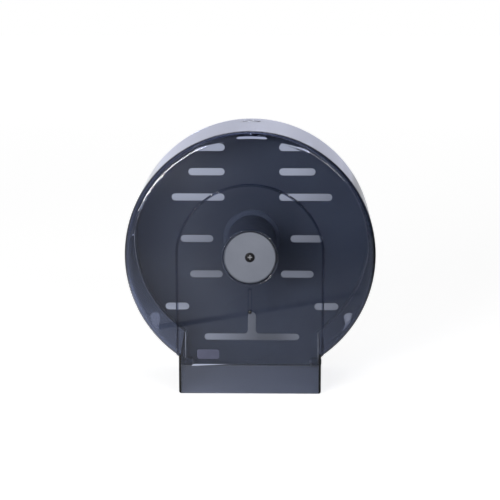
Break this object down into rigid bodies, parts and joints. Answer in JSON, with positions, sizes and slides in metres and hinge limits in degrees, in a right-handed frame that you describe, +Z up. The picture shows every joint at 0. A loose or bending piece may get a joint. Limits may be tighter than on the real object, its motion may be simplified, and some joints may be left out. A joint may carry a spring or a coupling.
{
  "type": "jumbo toilet roll dispenser",
  "caption": "Wall-mounted drum dispenser for a jumbo toilet roll: smoked drop-front cover, slotted back plate, turning roll hub and a cam lock.",
  "frame": {"origin": "on the wall plane at the hub axis, in the middle of the back plate's rear face", "axes": "+Z up, -Y out of the wall towards the user, +X to the user's right"},
  "size_m": [0.272, 0.1244, 0.2861],
  "materials": {
    "smoked_cover": "smoked see-through, high gloss",
    "charcoal_plate": "moulded satin charcoal",
    "hub_charcoal": "moulded satin charcoal, a little glossier than the plate",
    "trim_black": "glossy black",
    "badge_violet": "satin violet grey, blank",
    "disc_grey": "fine satin grey",
    "bush_white": "natural satin",
    "zinc_steel": "zinc plated",
    "dark_screw": "blackened",
    "insert_brass": "turned",
    "lock_chrome": "bright plated"
  },
  "bodies": {
    "plate": {"back_plate": "charcoal_plate", "hinge_pin_left": "zinc_steel", "hinge_pin_right": "zinc_steel", "pin_clip_left": "zinc_steel", "pin_clip_right": "zinc_steel", "hub_spindle": "hub_charcoal", "spindle_screws": "zinc_steel", "rear_washer": "zinc_steel", "front_washer": "zinc_steel", "threaded_insert": "insert_brass", "hub_disc": "disc_grey", "hub_screw": "dark_screw", "lock_strike": "zinc_steel", "strike_screw": "zinc_steel"},
    "cover": {"front_cover": "smoked_cover", "hub_ring": "trim_black", "guide_stud": "trim_black", "blank_badge": "badge_violet", "lock_body": "lock_chrome", "lock_clip": "zinc_steel"},
    "hub": {"roll_hub": "hub_charcoal", "rear_bush": "bush_white", "front_bush": "bush_white"},
    "cam": {"lock_plug": "lock_chrome", "lock_cam": "zinc_steel", "cam_washer": "zinc_steel", "cam_screw": "zinc_steel"}
  },
  "joints": [
    {"name": "cover_hinge", "type": "hinge", "parent": "plate", "child": "cover", "pos_m": [0, -0.008, -0.1436], "axis": [1, 0, 0], "range_deg": [0, 90]},
    {"name": "hub_spin", "type": "hinge", "parent": "plate", "child": "hub", "pos_m": [0, -0.06, 0], "axis": [0, 1, 0], "continuous": true},
    {"name": "lock_turn", "type": "hinge", "parent": "cover", "child": "cam", "pos_m": [0, -0.022, 0.1285], "axis": [0, 0, -1], "range_deg": [0, 90]}
  ]
}
